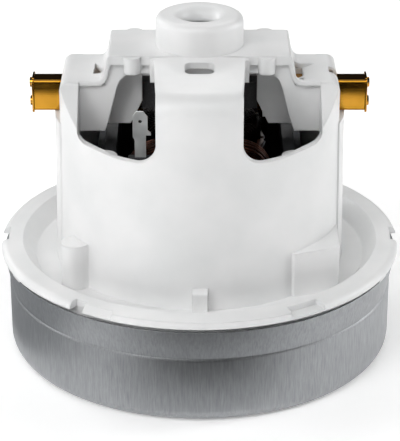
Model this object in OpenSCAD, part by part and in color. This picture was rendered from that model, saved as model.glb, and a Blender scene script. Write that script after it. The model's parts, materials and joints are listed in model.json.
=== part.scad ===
// Vacuum motor unit: a white moulded motor housing on a drawn steel fan can.
// The origin is the centre of the can's flat bottom, and Z is the shaft's axis.

/* [Overall] */
// Height from the can's bottom to the top of the hub
total_h = 118; // [114:1:126]
// Width of the air gap between any two pieces that only touch
seat_gap = 0.2; // [0.1:0.05:0.3]
// Radial running clearance of a ball in its groove
ball_gap = 0.03; // [0.02:0.01:0.05]
// Radial clearance of a pressed or slid fit
fit_gap = 0.02; // [0.01:0.01:0.05]

/* [Fan can] */
// Sheet thickness of the can
can_t = 0.8; // [0.6:0.1:1]
// Outer radius of the can below its bead
can_r = 66.5; // [66:0.1:66.8]
// Outer radius of the can's corner at the bottom
can_corner_r = 4.5; // [3:0.5:6]
// Height of the can's bead
can_bead_z = 22.6; // [20:0.2:24]
// How far the bead steps in
can_bead_in = 0.5; // [0.3:0.1:0.6]
// How far the can's lip flares out
can_flare = 1.5; // [1.1:0.1:1.6]
// Height of the can's lip
can_h = 34; // [33.6:0.1:34.4]
// Radius of the air inlet
eye_r = 18.6; // [16:0.2:19]
// Height of the collar round the air inlet
eye_h = 4.6; // [4:0.2:5]

/* [Rim and trough] */
// Height of the rim's flat top
rim_z = 38.2; // [37.8:0.1:38.8]
// Radius of the rounded outer edge of the rim
rim_round = 2.3; // [1.5:0.1:2.4]
// How far the rim stands out past the can's lip
rim_over = 1; // [0.6:0.1:1.4]
// Width of the open gap between the rim and the can's lip
rim_lip_gap = 1.7; // [1.2:0.1:1.7]
// Width of the rim's top
rim_w = 7.6; // [7:0.1:8.2]
// Width of the trough's sloped outer side
trough_side_w = 4.3; // [3.8:0.1:4.8]
// Height of the trough's floor
trough_z = 32.5; // [32:0.1:33]
// Wall thickness of the trough and its floor
trough_t = 2.2; // [1.8:0.1:2.4]
// Clearance of the ring that locates the housing inside the can
spigot_gap = 0.6; // [0.55:0.05:0.7]
// Thickness of that ring
spigot_t = 1.3; // [1:0.1:1.5]
// Height of that ring's lower edge
spigot_z = 31; // [30.8:0.1:31.4]

/* [Housing body] */
// Outer radius of the body at the top of its wall
body_top_r = 48.4; // [48.2:0.05:48.6]
// Outer radius of the body at the trough's floor
body_base_r = 49.1; // [48.9:0.05:49.3]
// Inner radius of the body
body_in_r = 46.2; // [46.1:0.05:46.3]
// Height of the wall's edge under the windows
sill_z = 82.7; // [82:0.1:85]
// How far the sill climbs towards the brush arms
sill_rise = 1; // [0.6:0.1:3]
// Radius of the window's corner beside the pillar
sill_round = 6.5; // [3:0.5:8]
// Half width of the front and back pillars
pillar_half = 13.9; // [13.6:0.1:14.8]
// Distance of the window's side from the middle plane
window_side_x = 39.9; // [39:0.1:40.6]
// Half width of the raised pads under the brush tubes
pad_half = 15; // [14:0.5:16]
// How far the pads stand out
pad_proud = 0.5; // [0.3:0.1:0.8]
// Height of the pads' top
pad_z = 84.9; // [84.5:0.1:85]

/* [Bridge] */
// Height of the bridge's flat top
bridge_z = 107.8; // [107.2:0.1:108.4]
// Half width of the bridge along Y
bridge_half = 13.6; // [13.2:0.1:13.9]
// Reach of the bridge's flat top along X
bridge_x = 30.3; // [29.8:0.1:30.6]
// Depth of the bridge's skirt
bridge_t = 3.2; // [2.8:0.1:3.6]
// Height of the brush arms' top
arm_z = 99; // [98.6:0.1:99.6]
// Thickness of the brush arms' top plate
arm_t = 1.6; // [1.4:0.1:1.8]
// Where the step down to the brush arm ends
arm_step_x = 34.1; // [33.4:0.1:34.6]
// Distance of the brush arms' outer face from the middle plane
arm_end_x = 46.4; // [46:0.1:46.6]
// Radius of the brush arms' outer top edge
arm_round = 3.4; // [2:0.2:4]
// How far the cheeks beside the windows reach forward
cheek_y = 28.4; // [24:0.2:30]
// Outer face of the webs under the bridge
web_y = 12.4; // [12:0.1:12.8]
// Thickness of the webs and ribs
web_t = 1.5; // [1.2:0.1:1.8]
// Height of the webs' lower edge
web_z = 81.1; // [80.6:0.1:81.6]
// Height of the webs' lower edge under the bridge
web_high_z = 101.4; // [100.8:0.1:102]
// Height of the front and back arms where they leave the hub
spine_z = 107.7; // [107:0.1:107.7]
// Height of the front and back arms above the pillars
spine_end_z = 105.9; // [105:0.1:106.5]
// Half width of the front and back arms beside the hub
spine_half = 15.2; // [14.8:0.1:15.6]
// Thickness of the front and back arms' top plate
spine_t = 2.4; // [2:0.1:2.8]
// Radius of the rounded shoulder above the pillars
shoulder_r = 7; // [3:0.5:8]
// Half width of the block round the upper bearing
block_half_x = 16.3; // [15.8:0.1:17]
// Half depth of the block round the upper bearing
block_half_y = 15.6; // [15.2:0.1:16.4]
// Height of that block's lower face
block_z = 99.4; // [99:0.1:100]

/* [Hub] */
// Outer radius of the hub
hub_r = 14.7; // [14.2:0.1:15.2]
// Radius of the hub's rounded top edge
hub_round = 2.5; // [1.5:0.1:3]
// Radius of the hole in the hub's top
hub_hole_r = 5.5; // [5:0.1:7]
// Radius of the dished lip round that hole
hub_dish_r = 9.4; // [8.5:0.1:10]
// How far the hole widens under its lip
hub_relief = 2.4; // [1.5:0.1:3]
// Thickness of the hole's lip, below the dish
hub_lip_t = 0.5; // [0.4:0.1:1]

/* [Brush gear] */
// Height of the brushes' axis
brush_z = 90.35; // [90.2:0.05:90.5]
// Width of the brass tube along Y
tube_w = 7.8; // [7.6:0.1:8]
// Height of the brass tube
tube_h = 10.7; // [10.4:0.1:10.8]
// Sheet thickness of the brass tube
tube_t = 0.5; // [0.4:0.05:0.6]
// Distance of the tube's inner end from the shaft's axis
tube_in_x = 19.5; // [17:0.5:19.5]
// Distance of the tube's outer end from the shaft's axis
tube_out_x = 55.6; // [54:0.2:57]
// Width of a carbon brush
carbon_w = 6.6; // [6.4:0.1:6.7]
// Height of a carbon brush
carbon_h = 9.5; // [9.2:0.1:9.6]
// Distance of a new brush's outer end from the shaft's axis
carbon_out_x = 40.4; // [38:0.2:42]
// Thickness of the brush cap's flange
cap_t = 0.7; // [0.5:0.1:1]
// How far the cap's flange stands out round the tube
cap_lip = 0.7; // [0.4:0.1:1]
// Radius of the two lugs on the cap
lug_r = 1.7; // [1.2:0.1:2]
// Outer diameter of a brush spring
spring_d = 5.6; // [5:0.1:6]
// Wire diameter of a brush spring
spring_wire = 0.5; // [0.4:0.1:0.6]
// Turns of a brush spring
spring_turns = 8; // [6:1:10]
// Radius of the copper lead inside a brush spring
lead_r = 0.8; // [0.6:0.1:1]

/* [Bearings] */
// Outer radius of the ball bearings
bearing_r = 11; // [11:1:11]
// Bore radius of the ball bearings
bearing_bore_r = 4; // [4:1:4]
// Width of the ball bearings
bearing_w = 7; // [7:1:7]
// Radius of a ball
ball_r = 1.9845; // [1.9:0.0005:2.05]
// Number of balls in a bearing
ball_count = 7; // [6:1:7]
// Height of the upper bearing's lower face
upper_z = 104; // [103.6:0.1:104.2]
// Height of the lower bearing's lower face
lower_z = 22.5; // [22.4:0.1:22.8]

/* [Field] */
// Height of the field core's lower face
field_z = 41; // [40:0.5:42]
// Height of the field core's stack of sheets
field_h = 32; // [30:0.5:32]
// Outer radius of the field core
field_r = 46; // [45.8:0.1:46]
// Distance of the field core's flats from the middle plane
field_flat_x = 34.4; // [34.2:0.1:37]
// Bore radius of the field core
field_bore_r = 23; // [22.8:0.1:23.4]
// Diameter of the wire in a field coil, as drawn
coil_wire = 1.1; // [1:0.05:1.1]
// Distance between one turn and the next
coil_pitch = 1.6; // [1.55:0.05:1.65]
// Turns in each of a field coil's two outer layers
coil_turns = 5; // [4:1:6]
// Width of a terminal tab
tab_w = 4.8; // [4.8:0.1:5]
// Thickness of a terminal tab
tab_t = 0.8; // [0.8:0.1:1]
// Height of a terminal tab's tip
tab_top_z = 96.6; // [95:0.2:97]

/* [Rotor] */
// Outer radius of the armature core
armature_r = 22.5; // [22.3:0.1:22.6]
// Number of slots in the armature core
slot_count = 12; // [12:2:14]
// Radius of the shaft through the armature
shaft_r = 5; // [4.8:0.1:5.4]
// Radius of the commutator's face
commutator_r = 12.5; // [12.2:0.1:12.8]
// Height of the commutator's lower end
commutator_z = 84.2; // [84:0.1:84.4]
// Length of the commutator
commutator_h = 13.2; // [12:0.2:13.6]
// Number of commutator bars
bar_count = 24; // [20:2:28]
// Room between the fan and the can
fan_room = 11.7; // [11.7:0.5:14]
// Height of the fan's back plate
fan_back_z = 17; // [16.8:0.1:17.2]
// Sheet thickness of the fan
fan_t = 0.9; // [0.8:0.1:1]
// Number of fan blades
fan_blades = 8; // [6:1:9]

/* [Diffuser] */
// Height of the diffuser plate's lower face
diffuser_z = 19.2; // [19:0.1:19.3]
// Thickness of the diffuser plate
diffuser_t = 1.8; // [1.6:0.1:1.9]
// Number of diffuser blades
diffuser_blades = 27; // [15:2:29]

/* [Hidden] */
$fn = 96;
eps = 0.01;

housing_color = "whitesmoke";
zinc_color = "darkgray";
black_color = [0.1, 0.1, 0.11];
brass_color = [0.78, 0.6, 0.25];
copper_color = [0.72, 0.4, 0.22];
steel_color = "silver";
carbon_color = [0.2, 0.2, 0.21];

// Can
can_in_r = can_r - can_t;
can_lip_r = can_r + can_flare;
rim_r = can_lip_r + rim_over;
rim_in_r = rim_r - rim_w;
rim_edge_z = rim_z - rim_round;
rim_low_z = can_h + rim_lip_gap;
trough_r = rim_in_r - trough_side_w;
spigot_r = can_in_r - spigot_gap;
fan_r = can_in_r - fan_room;
bead_z2 = can_bead_z + 2 * can_bead_in;
can_lip_in_r = can_lip_r - can_t;
eye_bend_r = eye_r + can_t + 1.2;

// Screws through the bracket into the housing's lower bosses
boss_x = 41.7;
boss_y = 29.8;
boss_ring_r = norm([boss_x, boss_y]);
boss_angle = atan2(boss_y, boss_x);
boss_r = 4.6;
boss_top_z = 48.2;
pocket_r = rim_r - 4.8;
bracket_screw_h = 13;
screw_r = 2;
screw_head_r = 3.6;
screw_head_h = 2.6;
floor_under_z = trough_z - trough_t;

// Bracket of the lower bearing
bracket_plate_t = 2;
bracket_plate_z = floor_under_z - bracket_plate_t;
bracket_in_r = 44;
bracket_out_r = 55.5;
bracket_hub_r = 14.4;
bracket_lip_z = lower_z - 1.2;
bracket_arm_w = 9;

// Field
field_top_z = field_z + field_h;
field_mid_z = field_z + field_h / 2;
field_boss_x = 31.4;
field_boss_y = 25.6;
field_boss_r = 4.4;
field_boss_top_z = 77.8;
field_screw_depth = 4.2;
pole_half = 13.5;
shoe_r = field_bore_r + 4;
window_half_x = 28;
window_half_y = 33;
frame_t = 1.8;
coil_y = 31.6;
coil_core_y0 = 25.1;
coil_core_y1 = coil_y - coil_pitch - coil_wire / 2 - 0.3;
coil_half_x = 15.6;
coil_half_z = field_h / 2 + frame_t + coil_wire / 2 + 0.3;
coil_corner = 3;
coil_steps = 24;
tower_y = 34.2;
tower_x = 19.1;
tab_hole_r = 0.65;
tab_hole_z = tab_top_z - 3.4;
tab_slot_z = field_top_z + 3;
tab_slot_h = 10;

// Bearings
pitch_r = (bearing_r + bearing_bore_r) / 2;
land = 1.3;

// Brush gear
tube_low_z = brush_z - tube_h / 2;
tube_top_z = brush_z + tube_h / 2;
tunnel_in_x = 19.2;
tunnel_slant = 4;
tunnel_t = 1.5;
tunnel_y0 = tube_w / 2 + fit_gap;
tunnel_floor_t = 1.5;
cap_plug = 1;
notch_front_y = 4.1;
notch_rear_y = 1.5;
notch_x = 43.3;
spring_steps = 12;
spring_mean_r = (spring_d - spring_wire) / 2;
spring_in_x = carbon_out_x + seat_gap;
spring_out_x = tube_out_x - cap_plug - seat_gap;

// Rotor
slot_r = 3.1;
slot_ring_r = armature_r - 5.1;
slot_mouth = 2;
insulator_t = 0.8;
winding_in_r = shaft_r + 2.2;
winding_r = armature_r - 1.6;
winding_low_z = field_z - insulator_t - 8.6;
winding_top_z = commutator_z - 0.8;
bar_in_r = commutator_r - 3.7;
bar_gap = 0.5;
riser_r = commutator_r + 1.7;
riser_h = 1.1;
shaft_low_z = 9;
shaft_top_z = upper_z + bearing_w + 0.8;
shaft_step_low_z = lower_z + bearing_w;
spacer_h = 5.8;
nut_h = 5.5;
nut_r = 7.5;
washer_t = 1.5;
washer_r = 8.5;
fan_blade_in = 4;
fan_blade_bend = 30;
diffuser_rim_w = 4.6;
diffuser_low_z = 5.2;
diffuser_bend = 40;
return_bend = 36;
return_reach = 6;
return_wide = 1.3;
front_plate_in_r = eye_r + can_t + 0.6;
front_plate_z0 = 2.8;
front_plate_z1 = 4.8;
front_plate_z2 = 9.6;
hub_under_z = upper_z + bearing_w + 1.2;

echo("Least gap between the turns of a field coil", least_gap(coil_points(), 12) - coil_wire);
echo("Least gap between the turns of a brush spring",
    least_gap(spring_points(), spring_steps / 2) - spring_wire);

// A flat ring
module ring(r_out, r_in, h) {
    difference() {
        cylinder(r = r_out, h = h);
        translate([0, 0, -eps]) cylinder(r = r_in, h = h + 2 * eps);
    }
}

// A wedge from the axis that covers a sector out to radius r
module wedge(r, mid, half, z0, z1) {
    far = r / cos(half);
    translate([0, 0, z0]) linear_extrude(z1 - z0)
        polygon([[0, 0], far * [cos(mid - half), sin(mid - half)],
            far * [cos(mid + half), sin(mid + half)]]);
}

// A centred box by its half widths and its heights
module slab(half_x, half_y, z0, z1) {
    translate([-half_x, -half_y, z0]) cube([2 * half_x, 2 * half_y, z1 - z0]);
}

// Extrude a drawing of X and Z along Y, between two values of Y
module along_y(y0, y1) {
    translate([0, y1, 0]) rotate([90, 0, 0]) linear_extrude(y1 - y0) children();
}

// Extrude a drawing of Y and Z along X, between two values of X
module along_x(x0, x1) {
    translate([x0, 0, 0]) rotate([90, 0, 90]) linear_extrude(x1 - x0) children();
}

// The same shape on both sides of the plane X = 0
module both_x() {
    children();
    mirror([1, 0, 0]) children();
}

// The same shape on both sides of the plane Y = 0
module both_y() {
    children();
    mirror([0, 1, 0]) children();
}

// Curved blade between two radii, cut from a circle through the axis
module blade_2d(r0, r1, bend, thick) {
    intersection() {
        difference() {
            circle(r = r1);
            circle(r = r0);
        }
        translate([bend, 0]) difference() {
            circle(r = bend + thick / 2);
            circle(r = bend - thick / 2);
        }
        translate([-r1, 0]) square([2 * r1, r1]);
    }
}

// Profile of the revolved shell: floor, trough, rim and body wall
module shell_profile() {
    slope = [rim_in_r - trough_r, rim_z - trough_z] / norm([rim_in_r - trough_r, rim_z - trough_z]);
    under = [trough_r, trough_z] + trough_t * [slope[1], -slope[0]];
    under_low = under + slope * (floor_under_z - under[1]) / slope[1];
    under_top = under + slope * (rim_z - trough_t - under[1]) / slope[1];
    polygon([[body_in_r, floor_under_z], under_low, under_top,
        [spigot_r - spigot_t, rim_z - trough_t], [spigot_r - spigot_t, spigot_z],
        [spigot_r, spigot_z], [spigot_r, rim_low_z], [rim_r, rim_low_z], [rim_r, rim_edge_z],
        [rim_r - rim_round, rim_z], [rim_in_r, rim_z],
        [trough_r, trough_z], [body_base_r, trough_z], [body_top_r, sill_z],
        [body_top_r, arm_z], [body_in_r, arm_z]]);
    intersection() {
        translate([rim_r - rim_round, rim_z - rim_round]) circle(r = rim_round);
        translate([rim_r - rim_round, rim_edge_z - eps]) square(rim_round + 1);
    }
}

// Outline of the bridge and brush arms in X and Z, on the +X side
module bridge_outline() {
    difference() {
        polygon([[0, 0], [0, bridge_z], [bridge_x - 0.6, bridge_z], [bridge_x, bridge_z - 0.5],
            [bridge_x + 0.6, arm_z + 4.7], [bridge_x + 1.1, arm_z + 2.4], [bridge_x + 1.7, arm_z + 1.1],
            [bridge_x + 2.5, arm_z + 0.3], [arm_step_x, arm_z], [arm_end_x, arm_z], [arm_end_x, 0]]);
        translate([arm_end_x - arm_round, arm_z - arm_round]) difference() {
            square(arm_round + 1);
            circle(r = arm_round);
        }
    }
}

// Plate of the bridge and the brush arms, with its skirt
module bridge_plate() {
    under_x = bridge_x - 1;
    intersection() {
        along_y(-bridge_half, bridge_half) difference() {
            bridge_outline();
            polygon([[-1, 0], [-1, bridge_z - bridge_t], [under_x, bridge_z - bridge_t],
                [under_x + 0.6, arm_z + 3.8], [under_x + 1.1, arm_z + 1.7], [under_x + 1.6, arm_z + 0.2],
                [under_x + 2.4, arm_z - 0.9], [under_x + 3.5, arm_z - 1.4],
                [under_x + 4.9, arm_z - arm_t], [arm_end_x - arm_t, arm_z - arm_t],
                [arm_end_x - arm_t, 0]]);
        }
        cylinder(r = body_top_r, h = total_h);
        translate([0, -bridge_half - 1, sill_z]) cube([rim_r, 2 * bridge_half + 2, total_h]);
    }
}

// Web under one edge of the bridge and the brush arm
module web() {
    along_y(web_y - web_t, web_y) polygon([[block_half_x - 1, bridge_z - bridge_t + eps],
        [block_half_x - 1, web_high_z], [22.6, web_high_z], [24.8, web_high_z - 1],
        [26.4, web_high_z - 2.6], [27.4, web_high_z - 5.1], [28.7, web_z + 10], [30.5, web_z + 3],
        [31.6, web_z],
        [44.2, web_z], [44.2, arm_z - arm_t + eps], [31.6, arm_z - arm_t + eps],
        [29.2, bridge_z - bridge_t + eps]]);
}

// Side wall of the tunnel that holds a brass tube
module tunnel_wall() {
    along_y(tunnel_y0, tunnel_y0 + tunnel_t) polygon([[tunnel_in_x, bridge_z - bridge_t + eps],
        [tunnel_in_x, brush_z - 1], [tunnel_in_x + tunnel_slant, web_z], [body_in_r - 0.3, web_z],
        [body_in_r - 0.3, arm_z - arm_t + eps], [31.6, arm_z - arm_t + eps],
        [29.2, bridge_z - bridge_t + eps]]);
}

// Outline of a front or back arm in radius and height, set in by a distance
module spine_profile(inset) {
    r = body_top_r - inset;
    top = spine_end_z - inset;
    round_r = shoulder_r - inset;
    polygon([[0, sill_z], [0, spine_z - inset], [hub_r, spine_z - inset], [r - round_r, top],
        [r - round_r, top - round_r], [r, top - round_r], [r, sill_z]]);
    intersection() {
        translate([r - round_r, top - round_r]) circle(r = round_r);
        translate([r - round_r - 1, top - round_r - 1]) square(round_r + 2);
    }
}

// Front arm from the hub to its pillar, drawn on the +Y side
module spine() {
    intersection() {
        union() {
            rotate_extrude() difference() {
                spine_profile(0);
                spine_profile(spine_t);
                translate([0, sill_z - 1]) square([body_in_r, 4]);
            }
            both_x() along_x(pillar_half - web_t, pillar_half) polygon([[hub_r, block_z],
                [hub_r, spine_z - 1], [body_top_r - shoulder_r, spine_end_z - 1],
                [body_in_r + 0.3, spine_end_z - shoulder_r - 0.5], [body_in_r + 0.3, sill_z + 6],
                [body_in_r - 2, block_z - 6], [body_in_r - 8, block_z]]);
        }
        linear_extrude(total_h) polygon([[-spine_half, hub_r - 3], [-spine_half, hub_r],
            [-pillar_half, body_in_r - 6], [-pillar_half, rim_r], [pillar_half, rim_r],
            [pillar_half, body_in_r - 6], [spine_half, hub_r], [spine_half, hub_r - 3]]);
    }
}

// Space of one window, on the +X +Y side
module window_cut() {
    along_y(bridge_half, rim_r) union() {
        polygon([[pillar_half, total_h], [pillar_half, sill_z + sill_round],
            [pillar_half + sill_round, sill_z + sill_round],
            [pillar_half + sill_round, sill_z], [26.5, sill_z], [32, sill_z + sill_rise * 0.7],
            [37.7, sill_z + sill_rise], [39.2, sill_z + sill_rise + 0.9],
            [window_side_x, sill_z + sill_rise + 2.4], [window_side_x, total_h]]);
        translate([pillar_half + sill_round, sill_z + sill_round]) circle(r = sill_round);
    }
}

// Slope of the cheeks, from the brush arm down to the window's side, in Y and Z
module cheek_slope() {
    both_x() polygon([[bridge_half + 0.4, arm_z - 0.8], [cheek_y, sill_z + sill_rise + 3],
        [rim_r, sill_z + sill_rise + 3], [rim_r, total_h], [bridge_half + 0.4, total_h]]);
}

// Solid cheek between a window and the end of the brush arm, on the +X +Y side
module cheek() {
    intersection() {
        translate([0, 0, web_z]) cylinder(r = body_top_r - 0.1, h = arm_z - web_z);
        along_y(web_y, cheek_y + 1) difference() {
            bridge_outline();
            square([window_side_x, total_h]);
        }
        along_x(window_side_x - 1, rim_r) difference() {
            translate([-rim_r, 0]) square([2 * rim_r, total_h]);
            cheek_slope();
        }
    }
}

// Lower boss with a round front, for a bracket screw
module round_boss() {
    difference() {
        union() {
            translate([boss_x, boss_y, trough_z - 1]) cylinder(r = boss_r, h = boss_top_z - trough_z + 1);
            rotate([0, 0, boss_angle])
                translate([body_in_r + 0.5, 0.12 - boss_r, trough_z - 1])
                cube([boss_ring_r - body_in_r - 0.5, 2 * boss_r - 0.24, boss_top_z - trough_z + 1]);
        }
        translate([0, 0, trough_z - 2]) cylinder(r = body_in_r + 0.8, h = 30);
    }
}

// Lower boss with a flat front, for a bracket screw
module block_boss() {
    difference() {
        translate([0, 0, trough_z - 1]) linear_extrude(boss_top_z - trough_z + 1)
            polygon([[30.3, 34], [30.3, 38.4], [31.5, 39.3], [45, 33.9], [46.6, 32], [46.6, 14],
                [44, 14]]);
        translate([0, 0, trough_z - 2]) cylinder(r = body_in_r + 0.8, h = 30);
    }
}

// Inner boss that takes a field core screw
module field_boss() {
    angle = atan2(field_boss_y, field_boss_x);
    reach = norm([field_boss_x, field_boss_y]);
    difference() {
        union() {
            translate([field_boss_x, field_boss_y, field_top_z])
                cylinder(r = field_boss_r, h = field_boss_top_z - field_top_z);
            rotate([0, 0, angle]) translate([reach, -field_boss_r * 0.7, field_top_z])
                cube([body_in_r + 0.8 - reach, field_boss_r * 1.4, field_boss_top_z - field_top_z]);
        }
        translate([field_boss_x, field_boss_y, field_top_z - eps])
            cylinder(r = screw_r + fit_gap, h = field_screw_depth + 0.1);
    }
}

// Hub with its bearing seat left solid
module hub_solid() {
    rotate_extrude() difference() {
        union() {
            translate([0, block_z]) square([hub_r, total_h - hub_round - block_z]);
            square_top = total_h - hub_round;
            translate([0, square_top - eps]) square([hub_r - hub_round, hub_round + eps]);
            intersection() {
                translate([hub_r - hub_round, square_top]) circle(r = hub_round);
                translate([hub_r - hub_round, square_top - eps]) square(hub_round + 1);
            }
        }
        translate([-hub_r, 0]) square([hub_r, total_h]);
    }
}

// Everything that is bored out of the hub
module hub_bores() {
    translate([0, 0, block_z - 1]) cylinder(r = bearing_r + fit_gap, h = hub_under_z - block_z + 1);
    cylinder(r = hub_hole_r, h = total_h + 1);
    dish = hub_dish_r - hub_hole_r;
    translate([0, 0, hub_under_z - eps])
        cylinder(r = hub_hole_r + hub_relief, h = total_h - dish - hub_lip_t - hub_under_z + eps);
    rotate_extrude() difference() {
        translate([0, total_h - dish * 0.8]) square([hub_dish_r, dish]);
        translate([hub_dish_r, total_h - dish]) circle(r = dish);
        translate([-hub_r, 0]) square([hub_r, total_h + 1]);
    }
}

module motor_housing() color(housing_color) difference() {
    union() {
        difference() {
            rotate_extrude() shell_profile();
            both_x() both_y() window_cut();
            both_x() along_x(window_side_x - 8, rim_r) cheek_slope();
            // sides of the upper wall follow the bridge's outline
            both_x() intersection() {
                translate([0, -rim_r, sill_z + 2]) cube([rim_r, 2 * rim_r, total_h]);
                difference() {
                    along_y(-28, 28) translate([window_side_x, sill_z]) square([20, 40]);
                    along_y(-29, 29) bridge_outline();
                }
            }
        }
        both_x() bridge_plate();
        both_x() both_y() cheek();
        both_x() both_y() web();
        both_x() both_y() tunnel_wall();
        both_x() translate([tunnel_in_x + 2, -tunnel_y0 - tunnel_t, tube_low_z - fit_gap - tunnel_floor_t])
            cube([body_in_r - tunnel_in_x - 1.6, 2 * (tunnel_y0 + tunnel_t), tunnel_floor_t]);
        both_y() spine();
        slab(block_half_x, block_half_y, block_z, bridge_z - 0.6);
        hub_solid();
        both_x() both_y() translate([22.1, bridge_half - 0.2, web_high_z + 0.7])
            cylinder(r = 2.8, h = bridge_z - web_high_z - 0.9);
        // raised pads under the brush tubes
        intersection() {
            rotate_extrude() polygon([[body_base_r - 1.4, trough_z - 1],
                [body_base_r + pad_proud, trough_z - 1], [body_top_r + pad_proud, pad_z],
                [body_top_r - 1.4, pad_z]]);
            slab(rim_r, pad_half, trough_z - 1, pad_z);
        }
        for (turn = [0, 180]) rotate([0, 0, turn]) {
            mirror([0, 1, 0]) block_boss();
            mirror([1, 0, 0]) mirror([0, 1, 0]) round_boss();
        }
        // small rib at the foot of the front wall
        both_y() along_x(-2.4, 2.7) polygon([[body_base_r - 1, trough_z - 1], [53.6, trough_z - 1],
            [53.2, 39.3], [52.7, 40.1], [51.7, 40.5], [body_base_r - 1, 40.5]]);
        both_x() both_y() field_boss();
        front_rim_corner();
        // short pads that rest on the can's lip
        for (mid = [20, 60, 90, 120, 160, 205, 335]) intersection() {
            translate([0, 0, can_h]) ring(can_lip_r + seat_gap, spigot_r - 0.5, rim_lip_gap + 0.3);
            wedge(rim_r, mid, 2.5, can_h - 1, rim_z);
        }
    }
    hub_bores();
    // passage and open notch for each brass tube
    both_x() translate([tube_in_x, -tunnel_y0, tube_low_z - fit_gap])
        cube([40, 2 * tunnel_y0, tube_h + 2 * fit_gap]);
    translate([notch_x, -notch_front_y, tube_low_z + 1]) cube([10, notch_front_y + notch_rear_y, 30]);
    // hole in the left brush arm, and sloped recess in the right one
    translate([0, 0, arm_z - arm_t - 0.5]) linear_extrude(arm_t + 2)
        polygon([[-35.5, -5.8], [-31.9, -5.4], [-31.9, -3.9], [-35.3, 4.8]]);
    along_y(-11.6, 4) polygon([[31.7, arm_z + 1.4], [31.7, arm_z - 2.1], [33, arm_z - 2.1],
        [39, arm_z + 0.05], [39, arm_z + 1.4]]);
    // slots in the front and back arms
    both_y() slot_cut();
    for (turn = [0, 180]) rotate([0, 0, turn]) both_x() translate([boss_x, boss_y, floor_under_z - 1])
        cylinder(r = screw_r + fit_gap, h = 14);
    rim_cuts();
}

// Rounded slot through a front or back arm
module slot_cut() {
    half = 4.75;
    y0 = 18.3;
    y1 = 27.7;
    round_r = 2.2;
    translate([0, 0, spine_end_z - spine_t - 2]) linear_extrude(8) {
        translate([-half, y0 + round_r]) square([2 * half, y1 - y0 - 2 * round_r]);
        translate([-half + round_r, y0]) square([2 * half - 2 * round_r, y1 - y0]);
        for (x = [-half + round_r, half - round_r])
            for (y = [y0 + round_r, y1 - round_r]) translate([x, y]) circle(r = round_r);
    }
}

// Sharp corner that fills out the rounded rim across the front
module front_rim_corner() {
    intersection() {
        translate([0, 0, rim_edge_z - 0.1]) difference() {
            cylinder(r = rim_r, h = rim_z - rim_edge_z + 0.1);
            translate([0, 0, -1]) cylinder(r = rim_r - rim_round - 1, h = 10);
        }
        wedge(rim_r + 2, -89.5, 24.8, rim_edge_z - 0.1, rim_z);
    }
}

// Notches and pockets in the rim
module rim_cuts() {
    // narrow notch and bevel on the left
    intersection() {
        translate([0, 0, can_h]) ring(rim_r + 1, rim_r - 3.6, 10);
        wedge(rim_r + 3, -125.6, 2, can_h, rim_z + 1);
    }
    intersection() {
        rotate_extrude() polygon([[rim_r - 2.7, rim_z + 0.1], [rim_r + 0.1, rim_edge_z - 0.4],
            [rim_r + 2, rim_edge_z - 0.4], [rim_r + 2, rim_z + 0.1]]);
        wedge(rim_r + 3, -119.3, 4.8, can_h, rim_z + 1);
    }
    // pocket on the right
    intersection() {
        translate([0, 0, rim_low_z + 0.6]) ring(rim_r + 1, pocket_r, 10);
        wedge(rim_r + 3, -59, 5.1, can_h, rim_z + 1);
    }
    // short groove at the left end of the sharp corner
    intersection() {
        translate([0, 0, rim_z - 1]) ring(rim_r + 1, rim_r - 1.3, 10);
        wedge(rim_r + 3, -112.9, 1.4, can_h, rim_z + 1);
    }
    // notches at both sides, down to the can's lip
    for (mid = [-0.8, 180.8]) intersection() {
        translate([0, 0, can_h - 0.1]) ring(rim_r + 1, rim_r - 2.6, 10);
        wedge(rim_r + 3, mid, 4.3, can_h - 1, rim_z + 1);
    }
}

module fan_can() color(zinc_color) rotate_extrude() difference() {
    union() {
        // flat bottom, corner and wall
        difference() {
            union() {
                translate([eye_bend_r, 0]) square([can_r - can_corner_r - eye_bend_r, can_t]);
                translate([can_r - can_corner_r, can_corner_r]) circle(r = can_corner_r);
            }
            translate([can_r - can_corner_r, can_corner_r]) circle(r = can_corner_r - can_t);
            translate([can_r - 2 * can_corner_r - 1, can_t]) square([can_corner_r + 1, 2 * can_corner_r]);
            translate([can_r - can_corner_r - 1, can_corner_r]) square([can_corner_r + 2, can_corner_r + 1]);
        }
        polygon([[can_in_r, can_corner_r], [can_r, can_corner_r], [can_r, can_bead_z],
            [can_r - can_bead_in, bead_z2], [can_lip_r, can_h], [can_lip_in_r, can_h],
            [can_in_r - can_bead_in, bead_z2], [can_in_r, can_bead_z]]);
        // collar round the inlet
        translate([eye_r, can_t + 1.2]) square([can_t, eye_h - can_t - 1.2]);
        difference() {
            translate([eye_bend_r, can_t + 1.2]) circle(r = can_t + 1.2);
            translate([eye_bend_r, can_t + 1.2]) circle(r = 1.2);
            translate([eye_bend_r, -1]) square([5, 10]);
            translate([eye_r - 1, can_t + 1.2]) square([10, 5]);
        }
    }
    translate([-rim_r, -1]) square([rim_r, total_h]);
}

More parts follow.
